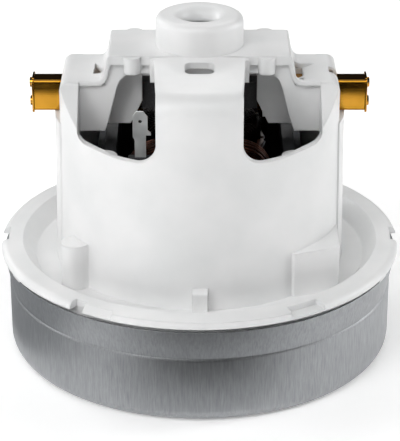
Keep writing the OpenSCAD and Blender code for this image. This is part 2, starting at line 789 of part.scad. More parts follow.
module diffuser() color(black_color) {
    ring_r = spigot_r;
    difference() {
        union() {
            translate([0, 0, diffuser_z]) ring(ring_r - diffuser_rim_w, bracket_hub_r * 0.6, diffuser_t);
            translate([0, 0, bead_z2 + 0.5]) ring(ring_r, ring_r - 1.1, spigot_z - bead_z2 - 0.5);
            for (i = [0:diffuser_blades - 1]) rotate([0, 0, i * 360 / diffuser_blades]) {
                translate([0, 0, diffuser_low_z])
                    linear_extrude(diffuser_z + diffuser_t - 0.9 - diffuser_low_z)
                        blade_2d(fan_r + 2, ring_r - 0.3, diffuser_bend, return_wide);
                translate([0, 0, diffuser_z + diffuser_t - 0.4])
                    linear_extrude(bracket_plate_z - diffuser_z - diffuser_t + 0.1)
                        blade_2d(fan_r - return_reach, ring_r - 0.5, return_bend, return_wide);
            }
        }
        for (turn = [0, 180]) rotate([0, 0, turn]) both_x()
            translate([boss_x, boss_y, bracket_plate_z - screw_head_h - 0.6])
                cylinder(r = screw_head_r + 0.6, h = screw_head_h + 2);
    }
}

module bearing_bracket() color(steel_color) difference() {
    union() {
        translate([0, 0, bracket_plate_z]) linear_extrude(bracket_plate_t) union() {
            difference() {
                circle(r = bracket_out_r);
                circle(r = bracket_in_r);
            }
            circle(r = bracket_hub_r);
            for (a = [45:90:315]) rotate(a) translate([bracket_hub_r - 2, -bracket_arm_w / 2])
                square([bracket_in_r - bracket_hub_r + 4, bracket_arm_w]);
        }
        translate([0, 0, bracket_lip_z])
            cylinder(r = bracket_hub_r, h = bracket_plate_z - bracket_lip_z + 0.5);
    }
    translate([0, 0, lower_z]) cylinder(r = bearing_r + fit_gap, h = 20);
    translate([0, 0, bracket_lip_z - 1]) cylinder(r = 8.4, h = 20);
    for (turn = [0, 180]) rotate([0, 0, turn]) both_x() translate([boss_x, boss_y, bracket_plate_z - 1])
        cylinder(r = screw_r + 0.3, h = 10);
}

// Screw with a round recessed head, pointing up from z = 0 under its head's seat
module screw(shank, length, head_r, head_h) {
    difference() {
        union() {
            cylinder(r = shank, h = length);
            translate([0, 0, -head_h]) cylinder(r = head_r, h = head_h);
        }
        translate([0, 0, -head_h - eps]) cylinder(r = shank * 0.75, h = head_h * 0.6, $fn = 6);
    }
}

module bracket_screws() color(steel_color)
    for (turn = [0, 180]) rotate([0, 0, turn]) both_x()
        translate([boss_x, boss_y, bracket_plate_z])
            screw(screw_r, bracket_screw_h, screw_head_r, screw_head_h);

module field_screws() color(steel_color)
    both_x() both_y() translate([field_boss_x, field_boss_y, field_z])
        screw(screw_r, field_h + field_screw_depth, 3.4, 3);

// Drawing of the openings between the poles and the yoke
module winding_space(pole, shoe) {
    difference() {
        square([2 * window_half_x, 2 * window_half_y], center = true);
        square([2 * pole, 2 * field_r], center = true);
        intersection() {
            circle(r = shoe);
            both_y() polygon([[0, 0], [60 * tan(54), 60], [-60 * tan(54), 60]]);
        }
    }
}

// Drawing of one field sheet
module field_sheet() {
    difference() {
        intersection() {
            circle(r = field_r);
            square([2 * field_flat_x, 2 * field_r], center = true);
        }
        winding_space(pole_half, shoe_r);
        circle(r = field_bore_r);
        both_x() both_y() translate([field_boss_x, field_boss_y]) circle(r = screw_r + 0.3);
    }
}

module field_core() color(steel_color) translate([0, 0, field_z]) linear_extrude(field_h) field_sheet();

// Drawing of the insulating end plate on the field sheet
module frame_sheet() {
    difference() {
        intersection() {
            circle(r = field_r - 1);
            square([2 * (field_flat_x - 2.4), 2 * field_r], center = true);
        }
        winding_space(pole_half, shoe_r);
        circle(r = field_bore_r + 0.8);
        both_x() both_y() translate([field_boss_x, field_boss_y]) circle(r = field_boss_r + 0.5);
    }
}

// Upright walls that hold the ends of the field coils
module frame_walls(h) {
    both_y() intersection() {
        difference() {
            cylinder(r = field_bore_r + 1.8, h = h);
            translate([0, 0, -1]) cylinder(r = field_bore_r + 0.8, h = h + 2);
        }
        wedge(40, 90, 32, 0, h);
    }
    both_y() translate([-window_half_x, tower_y - 1.2, 0]) cube([2 * window_half_x, 1.6, h * 0.45]);
}

module coil_frame_upper() color(black_color) difference() {
    union() {
        translate([0, 0, field_top_z]) linear_extrude(frame_t) frame_sheet();
        translate([0, 0, field_top_z]) frame_walls(9);
        for (turn = [0, 180]) rotate([0, 0, turn])
            translate([-tower_x - 4, -tower_y - 2, field_top_z]) cube([8, 3.2, 8]);
    }
    for (turn = [0, 180]) rotate([0, 0, turn])
        translate([-tower_x - tab_w / 2 + 0.6 - fit_gap, -tower_y - tab_t / 2 - 0.4 - fit_gap,
            tab_slot_z]) cube([tab_w - 1.2 + 2 * fit_gap, tab_t + 2 * fit_gap, tab_slot_h]);
}

module coil_frame_lower() color(black_color) mirror([0, 0, 1]) translate([0, 0, -field_z]) {
    linear_extrude(frame_t) frame_sheet();
    frame_walls(8);
}

// Point on a rounded rectangle, at a share of the way round
function track(hx, hz, c, u) =
    let (sx = 2 * (hx - c), sz = 2 * (hz - c), arc = PI * c / 2, all = 2 * sx + 2 * sz + 4 * arc,
        d = u * all, side = [sx, arc, sz, arc, sx, arc, sz, arc],
        start = [0, sx, sx + arc, sx + arc + sz, sx + 2 * arc + sz, 2 * sx + 2 * arc + sz,
            2 * sx + 3 * arc + sz, 2 * sx + 3 * arc + 2 * sz],
        k = max([for (i = [0:7]) if (d >= start[i] - 1e-9) i]), t = (d - start[k]) / side[k],
        turn = floor(k / 2) * 90, odd = k % 2,
        hw = turn % 180 == 0 ? hx : hz, hh = turn % 180 == 0 ? hz : hx,
        local = odd == 0 ? [-(hw - c) + t * 2 * (hw - c), hh]
            : [hw - c + c * sin(t * 90), hh - c + c * cos(t * 90)])
    [local[0] * cos(turn) + local[1] * sin(turn), -local[0] * sin(turn) + local[1] * cos(turn)];

// Six-sided tube round a list of points, each with a vector that points out of its bend
module wire_tube(points, outs, r) {
    n = len(points);
    sides = 6;
    rings = [for (i = [0:n - 1])
        let (a = points[max(i - 1, 0)], b = points[min(i + 1, n - 1)], dir = (b - a) / norm(b - a),
            side = cross(outs[i], dir) / norm(cross(outs[i], dir)), up = cross(dir, side))
        for (s = [0:sides - 1]) points[i] + r * (cos(s * 60) * side + sin(s * 60) * up)];
    polyhedron(rings, concat([[for (s = [0:sides - 1]) s]],
        [for (i = [0:n - 2]) for (s = [0:sides - 1]) for (half = [0, 1])
            let (a = i * sides + s, b = i * sides + (s + 1) % sides)
            half == 0 ? [a + sides, b + sides, b] : [a + sides, b, a]],
        [[for (s = [sides - 1:-1:0]) (n - 1) * sides + s]]));
}

// Least distance between two points that are at least so many steps apart
function least_gap(points, apart) =
    min([for (i = [0:len(points) - 1]) for (j = [i + apart:1:len(points) - 1])
        norm(points[i] - points[j])]);

// Points along the two outer layers of a field coil, wound outwards and then back in
function coil_points() =
    let (layer = coil_turns * coil_steps)
    [for (i = [0:2 * layer])
        let (out = i <= layer, turns = (out ? i : 2 * layer - i) / coil_steps,
            grow = turns * coil_pitch, fall = out ? 0 : min(1, (i - layer) / 3),
            p = track(coil_half_x + grow, coil_half_z + grow, coil_corner + grow,
                (i % coil_steps) / coil_steps))
        [p[0], coil_y - coil_pitch * fall, p[1]]];

// Field coil: two wound outer layers over a plain core
module field_coil() {
    points = coil_points();
    top = coil_turns * coil_pitch;
    translate([0, 0, field_mid_z]) {
        wire_tube(points, [for (p = points) [0, 1, 0]], coil_wire / 2);
        along_y(coil_core_y0, coil_core_y1) difference() {
            core_2d(coil_half_x + top, coil_half_z + top, coil_corner + top);
            core_2d(coil_half_x - coil_wire / 2, coil_half_z - coil_wire / 2, coil_corner);
        }
    }
}

// Rounded rectangle drawn by its half widths
module core_2d(hx, hz, c) {
    square([2 * (hx - c), 2 * hz], center = true);
    square([2 * hx, 2 * (hz - c)], center = true);
    for (x = [-hx + c, hx - c]) for (z = [-hz + c, hz - c]) translate([x, z]) circle(r = c);
}

module field_coil_front() color(copper_color) mirror([0, 1, 0]) field_coil();
module field_coil_rear() color(copper_color) field_coil();

// Flat tab with a hole and a small barb, in the slot of its tower
module terminal() color(steel_color)
    translate([-tower_x, -tower_y - 0.4, 0]) difference() {
        along_y(-tab_t / 2, tab_t / 2) polygon([[-tab_w / 2 + 0.6, tab_slot_z],
            [-tab_w / 2 + 0.6, field_top_z + 13.7], [-tab_w / 2, field_top_z + 15.1],
            [-tab_w / 2, tab_top_z - 1.6], [-tab_w / 2 + 1.2, tab_top_z], [tab_w / 2 - 1.4, tab_top_z],
            [tab_w / 2, tab_top_z - 1.8], [tab_w / 2, field_top_z + 17.1],
            [tab_w / 2 + 1, field_top_z + 16.3], [tab_w / 2 + 1, field_top_z + 15.5],
            [tab_w / 2 - 0.6, field_top_z + 15.5], [tab_w / 2 - 0.6, tab_slot_z]]);
        translate([0, 5, tab_hole_z]) rotate([90, 0, 0]) cylinder(r = tab_hole_r, h = 10);
    }

module terminal_front() terminal();
module terminal_rear() rotate([0, 0, 180]) terminal();

// Rectangle of Y and Z with rounded corners, for the brush tube
module tube_2d(w, h, c) {
    square([w - 2 * c, h], center = true);
    square([w, h - 2 * c], center = true);
    for (x = [-w / 2 + c, w / 2 - c]) for (z = [-h / 2 + c, h / 2 - c]) translate([x, z]) circle(r = c);
}

module brush_tube() color(brass_color) translate([0, 0, brush_z])
    along_x(tube_in_x, tube_out_x) difference() {
        tube_2d(tube_w, tube_h, 0.9);
        square([tube_w - 2 * tube_t, tube_h - 2 * tube_t], center = true);
    }

module brush_cap() color(brass_color) translate([0, 0, brush_z]) {
    inset = 2 * tube_t + 0.1;
    along_x(tube_out_x - cap_plug, tube_out_x) tube_2d(tube_w - inset, tube_h - inset, 0.5);
    along_x(tube_out_x, tube_out_x + cap_t)
        tube_2d(tube_w + 2 * cap_lip, tube_h + 2 * cap_lip, 1.4);
    for (z = [-3, 3.6]) translate([tube_out_x + cap_t - eps, 0, z]) rotate([0, 90, 0])
        cylinder(r = lug_r, h = 0.9);
}

// Points along a brush spring
function spring_points() =
    let (count = spring_turns * spring_steps, run = spring_out_x - spring_in_x - spring_wire)
    [for (i = [0:count]) let (turn = i * 360 / spring_steps)
        [spring_in_x + spring_wire / 2 + run * i / count, spring_mean_r * cos(turn),
            brush_z + spring_mean_r * sin(turn)]];

module brush_spring() color(steel_color) {
    points = spring_points();
    wire_tube(points, [for (p = points) [0, p[1], p[2] - brush_z]], spring_wire / 2);
}

module brush_lead() color(copper_color) translate([carbon_out_x, 0, brush_z]) rotate([0, 90, 0])
    cylinder(r = lead_r, h = spring_out_x - carbon_out_x + seat_gap);

module carbon_brush() color(carbon_color) difference() {
    translate([0, -carbon_w / 2, brush_z - carbon_h / 2]) cube([carbon_out_x, carbon_w, carbon_h]);
    translate([0, 0, brush_z - carbon_h]) cylinder(r = commutator_r + ball_gap, h = 2 * carbon_h);
}

module brush_tube_right() brush_tube();
module brush_tube_left() mirror([1, 0, 0]) brush_tube();
module brush_cap_right() brush_cap();
module brush_cap_left() mirror([1, 0, 0]) brush_cap();
module brush_spring_right() brush_spring();
module brush_spring_left() mirror([1, 0, 0]) brush_spring();
module brush_lead_right() brush_lead();
module brush_lead_left() mirror([1, 0, 0]) brush_lead();
module carbon_brush_right() carbon_brush();
module carbon_brush_left() mirror([1, 0, 0]) carbon_brush();

module bearing_outer(z) color(steel_color) translate([0, 0, z]) difference() {
    ring(bearing_r, pitch_r + land, bearing_w);
    translate([0, 0, bearing_w / 2]) rotate_extrude() translate([pitch_r, 0]) circle(r = ball_r + ball_gap);
}

module bearing_inner(z) color(steel_color) translate([0, 0, z]) difference() {
    ring(pitch_r - land, bearing_bore_r + fit_gap, bearing_w);
    translate([0, 0, bearing_w / 2]) rotate_extrude() translate([pitch_r, 0]) circle(r = ball_r + ball_gap);
}

module bearing_balls(z) color(steel_color)
    for (i = [0:ball_count - 1]) rotate([0, 0, i * 360 / ball_count])
        translate([pitch_r, 0, z + bearing_w / 2]) sphere(r = ball_r, $fn = 48);

module bearing_cage(z) color(brass_color) difference() {
    translate([0, 0, z + 1.1]) ring(pitch_r + 0.6, pitch_r - 0.6, bearing_w - 2.2);
    for (i = [0:ball_count - 1]) rotate([0, 0, i * 360 / ball_count])
        translate([pitch_r, 0, z + bearing_w / 2]) sphere(r = ball_r + 0.05, $fn = 48);
}

module bearing_shields(z) color(steel_color)
    for (h = [0.35, bearing_w - 0.65])
        translate([0, 0, z + h]) ring(pitch_r + land - fit_gap, pitch_r - land + 0.3, 0.3);

module upper_bearing_outer() bearing_outer(upper_z);
module upper_bearing_inner() bearing_inner(upper_z);
module upper_bearing_balls() bearing_balls(upper_z);
module upper_bearing_cage() bearing_cage(upper_z);
module upper_bearing_shields() bearing_shields(upper_z);
module lower_bearing_outer() bearing_outer(lower_z);
module lower_bearing_inner() bearing_inner(lower_z);
module lower_bearing_balls() bearing_balls(lower_z);
module lower_bearing_cage() bearing_cage(lower_z);
module lower_bearing_shields() bearing_shields(lower_z);

module wave_washer() color(steel_color)
    translate([0, 0, upper_z + bearing_w + 0.2]) ring(bearing_r - 0.3, bearing_r - 2.6, 0.8);

module shaft() color(steel_color) {
    translate([0, 0, shaft_low_z]) cylinder(r = bearing_bore_r, h = shaft_top_z - shaft_low_z);
    translate([0, 0, shaft_step_low_z])
        cylinder(r = shaft_r, h = upper_z - spacer_h - 0.2 - shaft_step_low_z);
}

// Drawing of one armature sheet without its bore
module armature_sheet(r, slot, mouth) {
    difference() {
        circle(r = r);
        for (i = [0:slot_count - 1]) rotate([0, 0, i * 360 / slot_count]) {
            translate([slot_ring_r, 0]) circle(r = slot);
            translate([slot_ring_r, -mouth / 2]) square([10, mouth]);
        }
    }
}

module armature_core() color(steel_color) difference() {
    translate([0, 0, field_z]) linear_extrude(field_h) armature_sheet(armature_r, slot_r, slot_mouth);
    translate([0, 0, field_z - 1]) cylinder(r = shaft_r + fit_gap, h = field_h + 2);
}

module insulator(z) color("darkolivegreen") difference() {
    translate([0, 0, z]) linear_extrude(insulator_t) armature_sheet(armature_r - 0.6, slot_r, slot_mouth);
    translate([0, 0, z - 1]) cylinder(r = shaft_r + fit_gap, h = 4);
}

module insulator_upper() insulator(field_top_z);
module insulator_lower() insulator(field_z - insulator_t);

// End turns of the armature winding, as one rounded ring
module end_turns(z0, z1) {
    c = 3;
    rotate_extrude() translate([winding_in_r, z0]) {
        translate([0, c]) square([winding_r - winding_in_r, z1 - z0 - 2 * c]);
        translate([c, 0]) square([winding_r - winding_in_r - 2 * c, z1 - z0]);
        for (x = [c, winding_r - winding_in_r - c]) for (z = [c, z1 - z0 - c])
            translate([x, z]) circle(r = c);
    }
}

module armature_winding() color(copper_color) {
    low = field_z - insulator_t;
    high = field_top_z + insulator_t;
    end_turns(winding_low_z, low);
    end_turns(high, winding_top_z);
    for (i = [0:slot_count - 1]) rotate([0, 0, i * 360 / slot_count])
        translate([slot_ring_r, 0, low - 1]) cylinder(r = slot_r - 0.25, h = high - low + 2);
}

module commutator_bars() color(copper_color) {
    tip = bar_gap / 2 / tan(180 / bar_count);
    side = 20 * sin(180 / bar_count) - bar_gap / 2;
    far = tip + 20 * cos(180 / bar_count);
    for (i = [0:bar_count - 1]) rotate([0, 0, i * 360 / bar_count]) intersection() {
        translate([0, 0, commutator_z]) union() {
            ring(commutator_r, bar_in_r, commutator_h);
            ring(riser_r, commutator_r - 1, riser_h);
        }
        translate([0, 0, commutator_z - 1]) linear_extrude(commutator_h + 2)
            polygon([[tip, 0], [far, side], [far, -side]]);
    }
}

module commutator_moulding() color("sienna") {
    translate([0, 0, commutator_z - 0.4]) ring(bar_in_r - fit_gap, shaft_r + fit_gap, commutator_h + 0.8);
    translate([0, 0, commutator_z + commutator_h + fit_gap]) ring(bar_in_r + 1.4, bar_in_r - 1, 0.5);
}

module bearing_spacer() color(steel_color)
    translate([0, 0, upper_z - spacer_h]) ring(5.9, bearing_bore_r + fit_gap, spacer_h);

module fan_spacer() color(steel_color)
    translate([0, 0, fan_back_z + fan_t]) ring(6, bearing_bore_r + fit_gap, lower_z - fan_back_z - fan_t);

module fan_back_plate() color("lightgray")
    translate([0, 0, fan_back_z]) ring(fan_r, bearing_bore_r + fit_gap, fan_t);

// Profile of the fan's front plate, raised by a gap on its upper side
module front_plate_profile(extra) {
    polygon([[front_plate_in_r, front_plate_z0], [front_plate_in_r + fan_t, front_plate_z0],
        [front_plate_in_r + fan_t, front_plate_z1 - fan_t * 0.6], [fan_r, front_plate_z2],
        [fan_r, front_plate_z2 + fan_t + extra], [front_plate_in_r, front_plate_z1 + extra]]);
}

module fan_front_plate() color("lightgray") rotate_extrude() front_plate_profile(0);

module fan_vanes() color("lightgray") difference() {
    translate([0, 0, front_plate_z1]) linear_extrude(fan_back_z - front_plate_z1)
        for (i = [0:fan_blades - 1]) rotate([0, 0, i * 360 / fan_blades])
            blade_2d(eye_r + fan_blade_in, fan_r - 0.4, fan_blade_bend, fan_t);
    rotate_extrude() front_plate_profile(0.04);
    rotate_extrude() polygon([[front_plate_in_r, 0], [fan_r + 1, 0],
        [fan_r + 1, front_plate_z2 + 0.2], [front_plate_in_r, front_plate_z1 - 0.4]]);
}

module fan_washer() color(steel_color)
    translate([0, 0, fan_back_z - washer_t]) ring(washer_r, bearing_bore_r + fit_gap, washer_t);

module fan_nut() color(steel_color) translate([0, 0, fan_back_z - washer_t - nut_h]) difference() {
    cylinder(r = nut_r, h = nut_h, $fn = 6);
    translate([0, 0, -1]) cylinder(r = bearing_bore_r + fit_gap, h = nut_h + 2);
}

motor_housing();
fan_can();
diffuser();
bearing_bracket();
bracket_screws();
field_core();
field_screws();
coil_frame_upper();
coil_frame_lower();
field_coil_front();
field_coil_rear();
terminal_front();
terminal_rear();
brush_tube_left();
brush_tube_right();
brush_cap_left();
brush_cap_right();
brush_spring_left();
brush_spring_right();
brush_lead_left();
brush_lead_right();
carbon_brush_left();
carbon_brush_right();
upper_bearing_outer();
upper_bearing_shields();
upper_bearing_cage();
upper_bearing_balls();
upper_bearing_inner();
wave_washer();
lower_bearing_outer();
lower_bearing_shields();
lower_bearing_cage();
lower_bearing_balls();
lower_bearing_inner();
shaft();
armature_core();
armature_winding();
insulator_upper();
insulator_lower();
commutator_bars();
commutator_moulding();
bearing_spacer();
fan_spacer();
fan_back_plate();
fan_front_plate();
fan_vanes();
fan_washer();
fan_nut();
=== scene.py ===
import json
import math
import random

import bmesh
import bpy
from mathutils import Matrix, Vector


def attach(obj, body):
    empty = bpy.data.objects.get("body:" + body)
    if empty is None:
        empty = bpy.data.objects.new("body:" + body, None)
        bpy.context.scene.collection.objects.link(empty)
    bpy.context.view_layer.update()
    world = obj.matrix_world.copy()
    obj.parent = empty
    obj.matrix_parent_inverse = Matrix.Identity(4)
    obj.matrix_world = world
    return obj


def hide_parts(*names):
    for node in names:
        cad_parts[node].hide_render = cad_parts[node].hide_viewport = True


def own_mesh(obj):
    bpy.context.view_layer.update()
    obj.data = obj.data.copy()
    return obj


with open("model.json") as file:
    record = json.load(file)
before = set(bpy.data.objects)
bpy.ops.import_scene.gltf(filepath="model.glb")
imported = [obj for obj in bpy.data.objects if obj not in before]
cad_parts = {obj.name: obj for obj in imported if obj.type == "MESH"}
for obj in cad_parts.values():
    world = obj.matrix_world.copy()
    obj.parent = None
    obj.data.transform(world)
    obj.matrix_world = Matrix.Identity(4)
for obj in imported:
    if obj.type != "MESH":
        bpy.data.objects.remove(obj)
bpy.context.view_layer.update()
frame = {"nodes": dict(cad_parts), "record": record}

nodes = frame["nodes"]
mm = 0.001
random.seed(11)

print("stage: camera, floor and lights")

# place and sensor in mm, tilt below level in degrees, focal length in picture pixels, clip in metres
camera = {"place": (0.14, -604.3, 317.3), "tilt": 24.45, "focalPixels": 1905, "pictureHeight": 441,
          "sensor": 36, "clip": (0.01, 50)}

# lengths in metres
studio = {
    "floorRadius": 9.0,
    "floorSides": 64,
    "floorColor": "f6f6f6",
    "floorRoughness": 0.9,
    "nearGlow": 0.28,          # the floor's own glow around the object
    "farGlow": 0.95,           # its glow where no softbox reaches it
    "farFrom": (0.9, 2.6),     # distances between which the glow changes
    "wallRadius": 8.9,
    "wallSides": 96,
    "wallFoot": -0.01,
    "wallTop": 6.0,
    "skyTop": "8f9296",
    "skyLow": "f2f3f4",
    "skyTopAt": 0.55,          # share of the ramp where the top colour is reached
    "skyStrength": 0.03,
}

lightAim = (0, 0, 0.06)  # metres, the middle of the object

# softboxes: place and size in metres, power in watts
softboxes = [
    {"name": "keyLeft", "place": (-0.9, -1.1, 1.0), "size": (0.8, 0.8), "power": 10.3},
    {"name": "sideLeft", "place": (-1.5, -0.1, 0.6), "size": (0.6, 1.0), "power": 5.1},
    {"name": "backLeft", "place": (-1.0, 0.9, 0.7), "size": (0.6, 0.8), "power": 6.7},
    {"name": "overhead", "place": (0, 0.1, 1.6), "size": (1.0, 1.0), "power": 1.0},
    {"name": "overheadFront", "place": (0, -0.9, 1.4), "size": (1.0, 0.6), "power": 8.0},
    {"name": "sideRight", "place": (1.5, -0.1, 0.6), "size": (0.5, 1.0), "power": 2.5},
    {"name": "backHigh", "place": (0, 1.2, 1.1), "size": (1.0, 0.5), "power": 5.1},
    {"name": "edgeRight", "place": (1.5, 0.35, 0.6), "size": (0.35, 1.0), "power": 10.5},
]

# glowing cards that lie on the floor and show only in glossy metal, painted reflections: reach along X
# and Y in metres, and shade
cards = [
    {"name": "tubeCardFar", "x": (-0.35, 0.35), "y": (-0.7, -0.271), "shade": "070707"},
    {"name": "tubeCardNear", "x": (-0.35, 0.35), "y": (-0.2655, -0.243), "shade": "070707"},
    {"name": "tubeCardRight", "x": (0.0, 0.35), "y": (-0.271, -0.2665), "shade": "070707"},
    {"name": "canCardLeft", "x": (-0.2, -0.071), "y": (-0.07, 0.12), "shade": "a6a8aa"},
    {"name": "canCardFront", "x": (-0.11, 0.085), "y": (-0.12, -0.07), "shade": "dcddde"},
    {"name": "canCardDark", "x": (-0.055, 0.065), "y": (-0.4, -0.091), "shade": "020202"},
]
cardLift = 1.0  # mm from the floor to the first card
cardStep = 0.1  # mm from each card up to the next, so that no two share a plane


def hexColor(code):
    channels = [int(code[i:i + 2], 16) / 255 for i in (0, 2, 4)]
    return (*[c / 12.92 if c <= 0.04045 else ((c + 0.055) / 1.055) ** 2.4 for c in channels], 1.0)


def addNode(tree, kind, inputs=None, **settings):  # one node with its settings and its links
    node = tree.nodes.new(kind)
    for name, value in settings.items():
        setattr(node, name, value)
    for name, value in (inputs or {}).items():
        socket = node.inputs[name]
        if isinstance(value, bpy.types.NodeSocket):
            tree.links.new(value, socket)
        else:
            socket.default_value = value
    return node


def addThing(name, data):  # an object in the scene
    thing = bpy.data.objects.new(name, data)
    bpy.context.scene.collection.objects.link(thing)
    return thing


def meshOf(name, corners, faces):
    mesh = bpy.data.meshes.new(name)
    mesh.from_pydata(corners, [], faces)
    return mesh


def startMaterial(name, color, **sockets):  # uniform values sit on the shader's own sockets
    material = bpy.data.materials.new(name)
    material.use_nodes = True
    shader = material.node_tree.nodes["Principled BSDF"]
    shader.inputs["Base Color"].default_value = hexColor(color)
    for socket, value in sockets.items():
        shader.inputs[socket.replace("_", " ")].default_value = value
    return material, material.node_tree, shader


def glowing(name, shade):  # a surface that shows one even shade, whatever light falls on it
    return startMaterial(name, "000000", Specular_IOR_Level=0, Emission_Color=hexColor(shade),
                         Emission_Strength=1.0)[0]


def onlyFor(thing, sight):  # the thing is seen by one kind of ray and casts no shadow
    for kind in ("camera", "diffuse", "glossy", "transmission", "shadow"):
        setattr(thing, "visible_" + kind, kind == sight)


def makeCamera():
    data = bpy.data.cameras.new("camera")
    data.sensor_width = camera["sensor"]
    data.lens = camera["sensor"] * camera["focalPixels"] / camera["pictureHeight"]
    data.clip_start, data.clip_end = camera["clip"]
    thing = addThing("camera", data)
    thing.location = Vector(camera["place"]) * mm
    thing.rotation_euler = (math.radians(90 - camera["tilt"]), 0, 0)
    bpy.context.scene.camera = thing


def makeSoftboxes():
    for box in softboxes:
        data = bpy.data.lights.new(box["name"], "AREA")
        data.shape = "RECTANGLE"
        data.size, data.size_y = box["size"]
        data.energy = box["power"]
        thing = addThing(box["name"], data)
        thing.location = box["place"]
        away = thing.location - Vector(lightAim)
        thing.rotation_euler = away.to_track_quat("Z", "Y").to_euler()


def makeFloor():  # a round sheet of painted paper
    disc = bmesh.new()
    bmesh.ops.create_circle(disc, cap_ends=True, radius=studio["floorRadius"],
                            segments=studio["floorSides"])
    mesh = bpy.data.meshes.new("floor")
    disc.to_mesh(mesh)
    disc.free()
    floor = addThing("floor", mesh)
    paper, tree, shader = startMaterial("paintedPaperSweep", studio["floorColor"],
                                        Roughness=studio["floorRoughness"],
                                        Emission_Color=hexColor(studio["floorColor"]))
    place = addNode(tree, "ShaderNodeTexCoord")
    away = addNode(tree, "ShaderNodeVectorMath", {0: place.outputs["Object"]}, operation="LENGTH")
    near, far = studio["farFrom"]
    glow = addNode(tree, "ShaderNodeMapRange",
                   {"Value": away.outputs["Value"], "From Min": near, "From Max": far,
                    "To Min": studio["nearGlow"], "To Max": studio["farGlow"]})
    tree.links.new(glow.outputs["Result"], shader.inputs["Emission Strength"])
    mesh.materials.append(paper)


def makeBackdrop():  # a pale wall all round, seen only by the camera, so it adds no light
    sides, radius = studio["wallSides"], studio["wallRadius"]
    rim = [(radius * math.cos(math.tau * i / sides), radius * math.sin(math.tau * i / sides))
           for i in range(sides)]
    corners = [(x, y, z) for z in (studio["wallFoot"], studio["wallTop"]) for x, y in rim]
    faces = [(i, (i + 1) % sides, sides + (i + 1) % sides, sides + i) for i in range(sides)]
    wall = addThing("backdrop", meshOf("backdrop", corners, faces))
    wall.data.materials.append(glowing("paperWall", studio["floorColor"]))
    onlyFor(wall, "camera")


def makeCards():
    for i, card in enumerate(cards):
        (x0, x1), (y0, y1), z = card["x"], card["y"], (cardLift + cardStep * i) * mm
        corners = [(x0, y0, z), (x1, y0, z), (x1, y1, z), (x0, y1, z)]
        thing = addThing(card["name"], meshOf(card["name"], corners, [(0, 1, 2, 3)]))
        thing.data.materials.append(glowing(card["name"], card["shade"]))
        # each card glows with its shade and is seen only by glossy rays: a painted reflection
        onlyFor(thing, "glossy")


def makeSky():
    world = bpy.data.worlds.new("studioWalls")
    world.use_nodes = True
    tree = world.node_tree
    place = addNode(tree, "ShaderNodeTexCoord")
    parts = addNode(tree, "ShaderNodeSeparateXYZ", {"Vector": place.outputs["Generated"]})
    ramp = addNode(tree, "ShaderNodeValToRGB", {"Fac": parts.outputs["Z"]})
    low, top = ramp.color_ramp.elements
    low.color = hexColor(studio["skyLow"])
    top.color = hexColor(studio["skyTop"])
    top.position = studio["skyTopAt"]
    shade = tree.nodes["Background"]
    tree.links.new(ramp.outputs["Color"], shade.inputs["Color"])
    shade.inputs["Strength"].default_value = studio["skyStrength"]
    bpy.context.scene.world = world


makeCamera()
makeSoftboxes()
makeFloor()
makeBackdrop()
makeCards()
makeSky()
bpy.context.scene.view_settings.view_transform = "Standard"

print("stage: materials")


def stretched(tree, size):  # object coordinates over the pattern's real size in mm, one or X, Y, Z
    sizes = size if isinstance(size, tuple) else (size,) * 3
    place = addNode(tree, "ShaderNodeTexCoord")
    scale = addNode(tree, "ShaderNodeVectorMath", {0: place.outputs["Object"],
                                                    1: tuple(1 / (s * mm) for s in sizes)},
                    operation="MULTIPLY")
    return scale.outputs["Vector"]


def noise(tree, size, detail=2.0, rough=0.5):
    return addNode(tree, "ShaderNodeTexNoise", {"Vector": stretched(tree, size), "Scale": 1.0,
                                                 "Detail": detail, "Roughness": rough}).outputs["Fac"]


def colorBy(tree, shader, pattern, first, second, mix=(0.35, 0.65)):  # the pattern mixes two colours
    ramp = addNode(tree, "ShaderNodeValToRGB", {"Fac": pattern})
    for i, code in enumerate((first, second)):
        ramp.color_ramp.elements[i].position = mix[i]
        ramp.color_ramp.elements[i].color = hexColor(code)
    tree.links.new(ramp.outputs["Color"], shader.inputs["Base Color"])


def roughBy(tree, shader, pattern, reach):  # the pattern moves the roughness between two values
    spread = addNode(tree, "ShaderNodeMapRange",
                     {"Value": pattern, "To Min": reach[0], "To Max": reach[1]})
    tree.links.new(spread.outputs["Result"], shader.inputs["Roughness"])


def bumpBy(tree, shader, pattern, depth, edge=0.0):  # relief and the radius of softened edges, in mm
    bump = addNode(tree, "ShaderNodeBump", {"Height": pattern, "Distance": depth * mm})
    if edge:
        soft = addNode(tree, "ShaderNodeBevel", {"Radius": edge * mm}, samples=6)
        tree.links.new(soft.outputs["Normal"], bump.inputs["Normal"])
    tree.links.new(bump.outputs["Normal"], shader.inputs["Normal"])


# In the dictionaries below sizes, depths and edges are in mm, and roughness is its least and most.

# Glass-filled polyester, injection moulded: a satin white with a faint cloudiness from the
# flow of the melt and a fine eroded grain from the mould, drawn coarser than it is so that it shows.
polyester = {"color": "ececec", "cloud": "e4e5e5", "cloudSize": 22, "sheenSize": (4, 4, 7),
             "roughness": (0.33, 0.45), "grain": 0.9, "depth": 0.012, "edge": 0.7}


def mouldedPolyester():
    material, tree, shader = startMaterial("mouldedPolyester", polyester["color"], IOR=1.57)
    cloud = noise(tree, polyester["cloudSize"], detail=3)
    colorBy(tree, shader, cloud, polyester["cloud"], polyester["color"])
    roughBy(tree, shader, noise(tree, polyester["sheenSize"]), polyester["roughness"])
    bumpBy(tree, shader, noise(tree, polyester["grain"]), polyester["depth"], polyester["edge"])
    return material


# Zinc-coated steel, deep drawn: dull grey zinc whose spangle the drawing die pulled into fine
# upright streaks, with a gloss that comes and goes in patches about a centimetre high. The
# streaks are drawn half a millimetre wide, coarser than they are, so that they show.
zinc = {"color": "a2a4a6", "dark": "96989b", "light": "aeb0b2", "mix": (0.3, 0.7),
        "streak": (0.5, 0.5, 6), "patch": (5, 5, 11), "roughness": (0.34, 0.52), "depth": 0.003,
        "edge": 0.3}


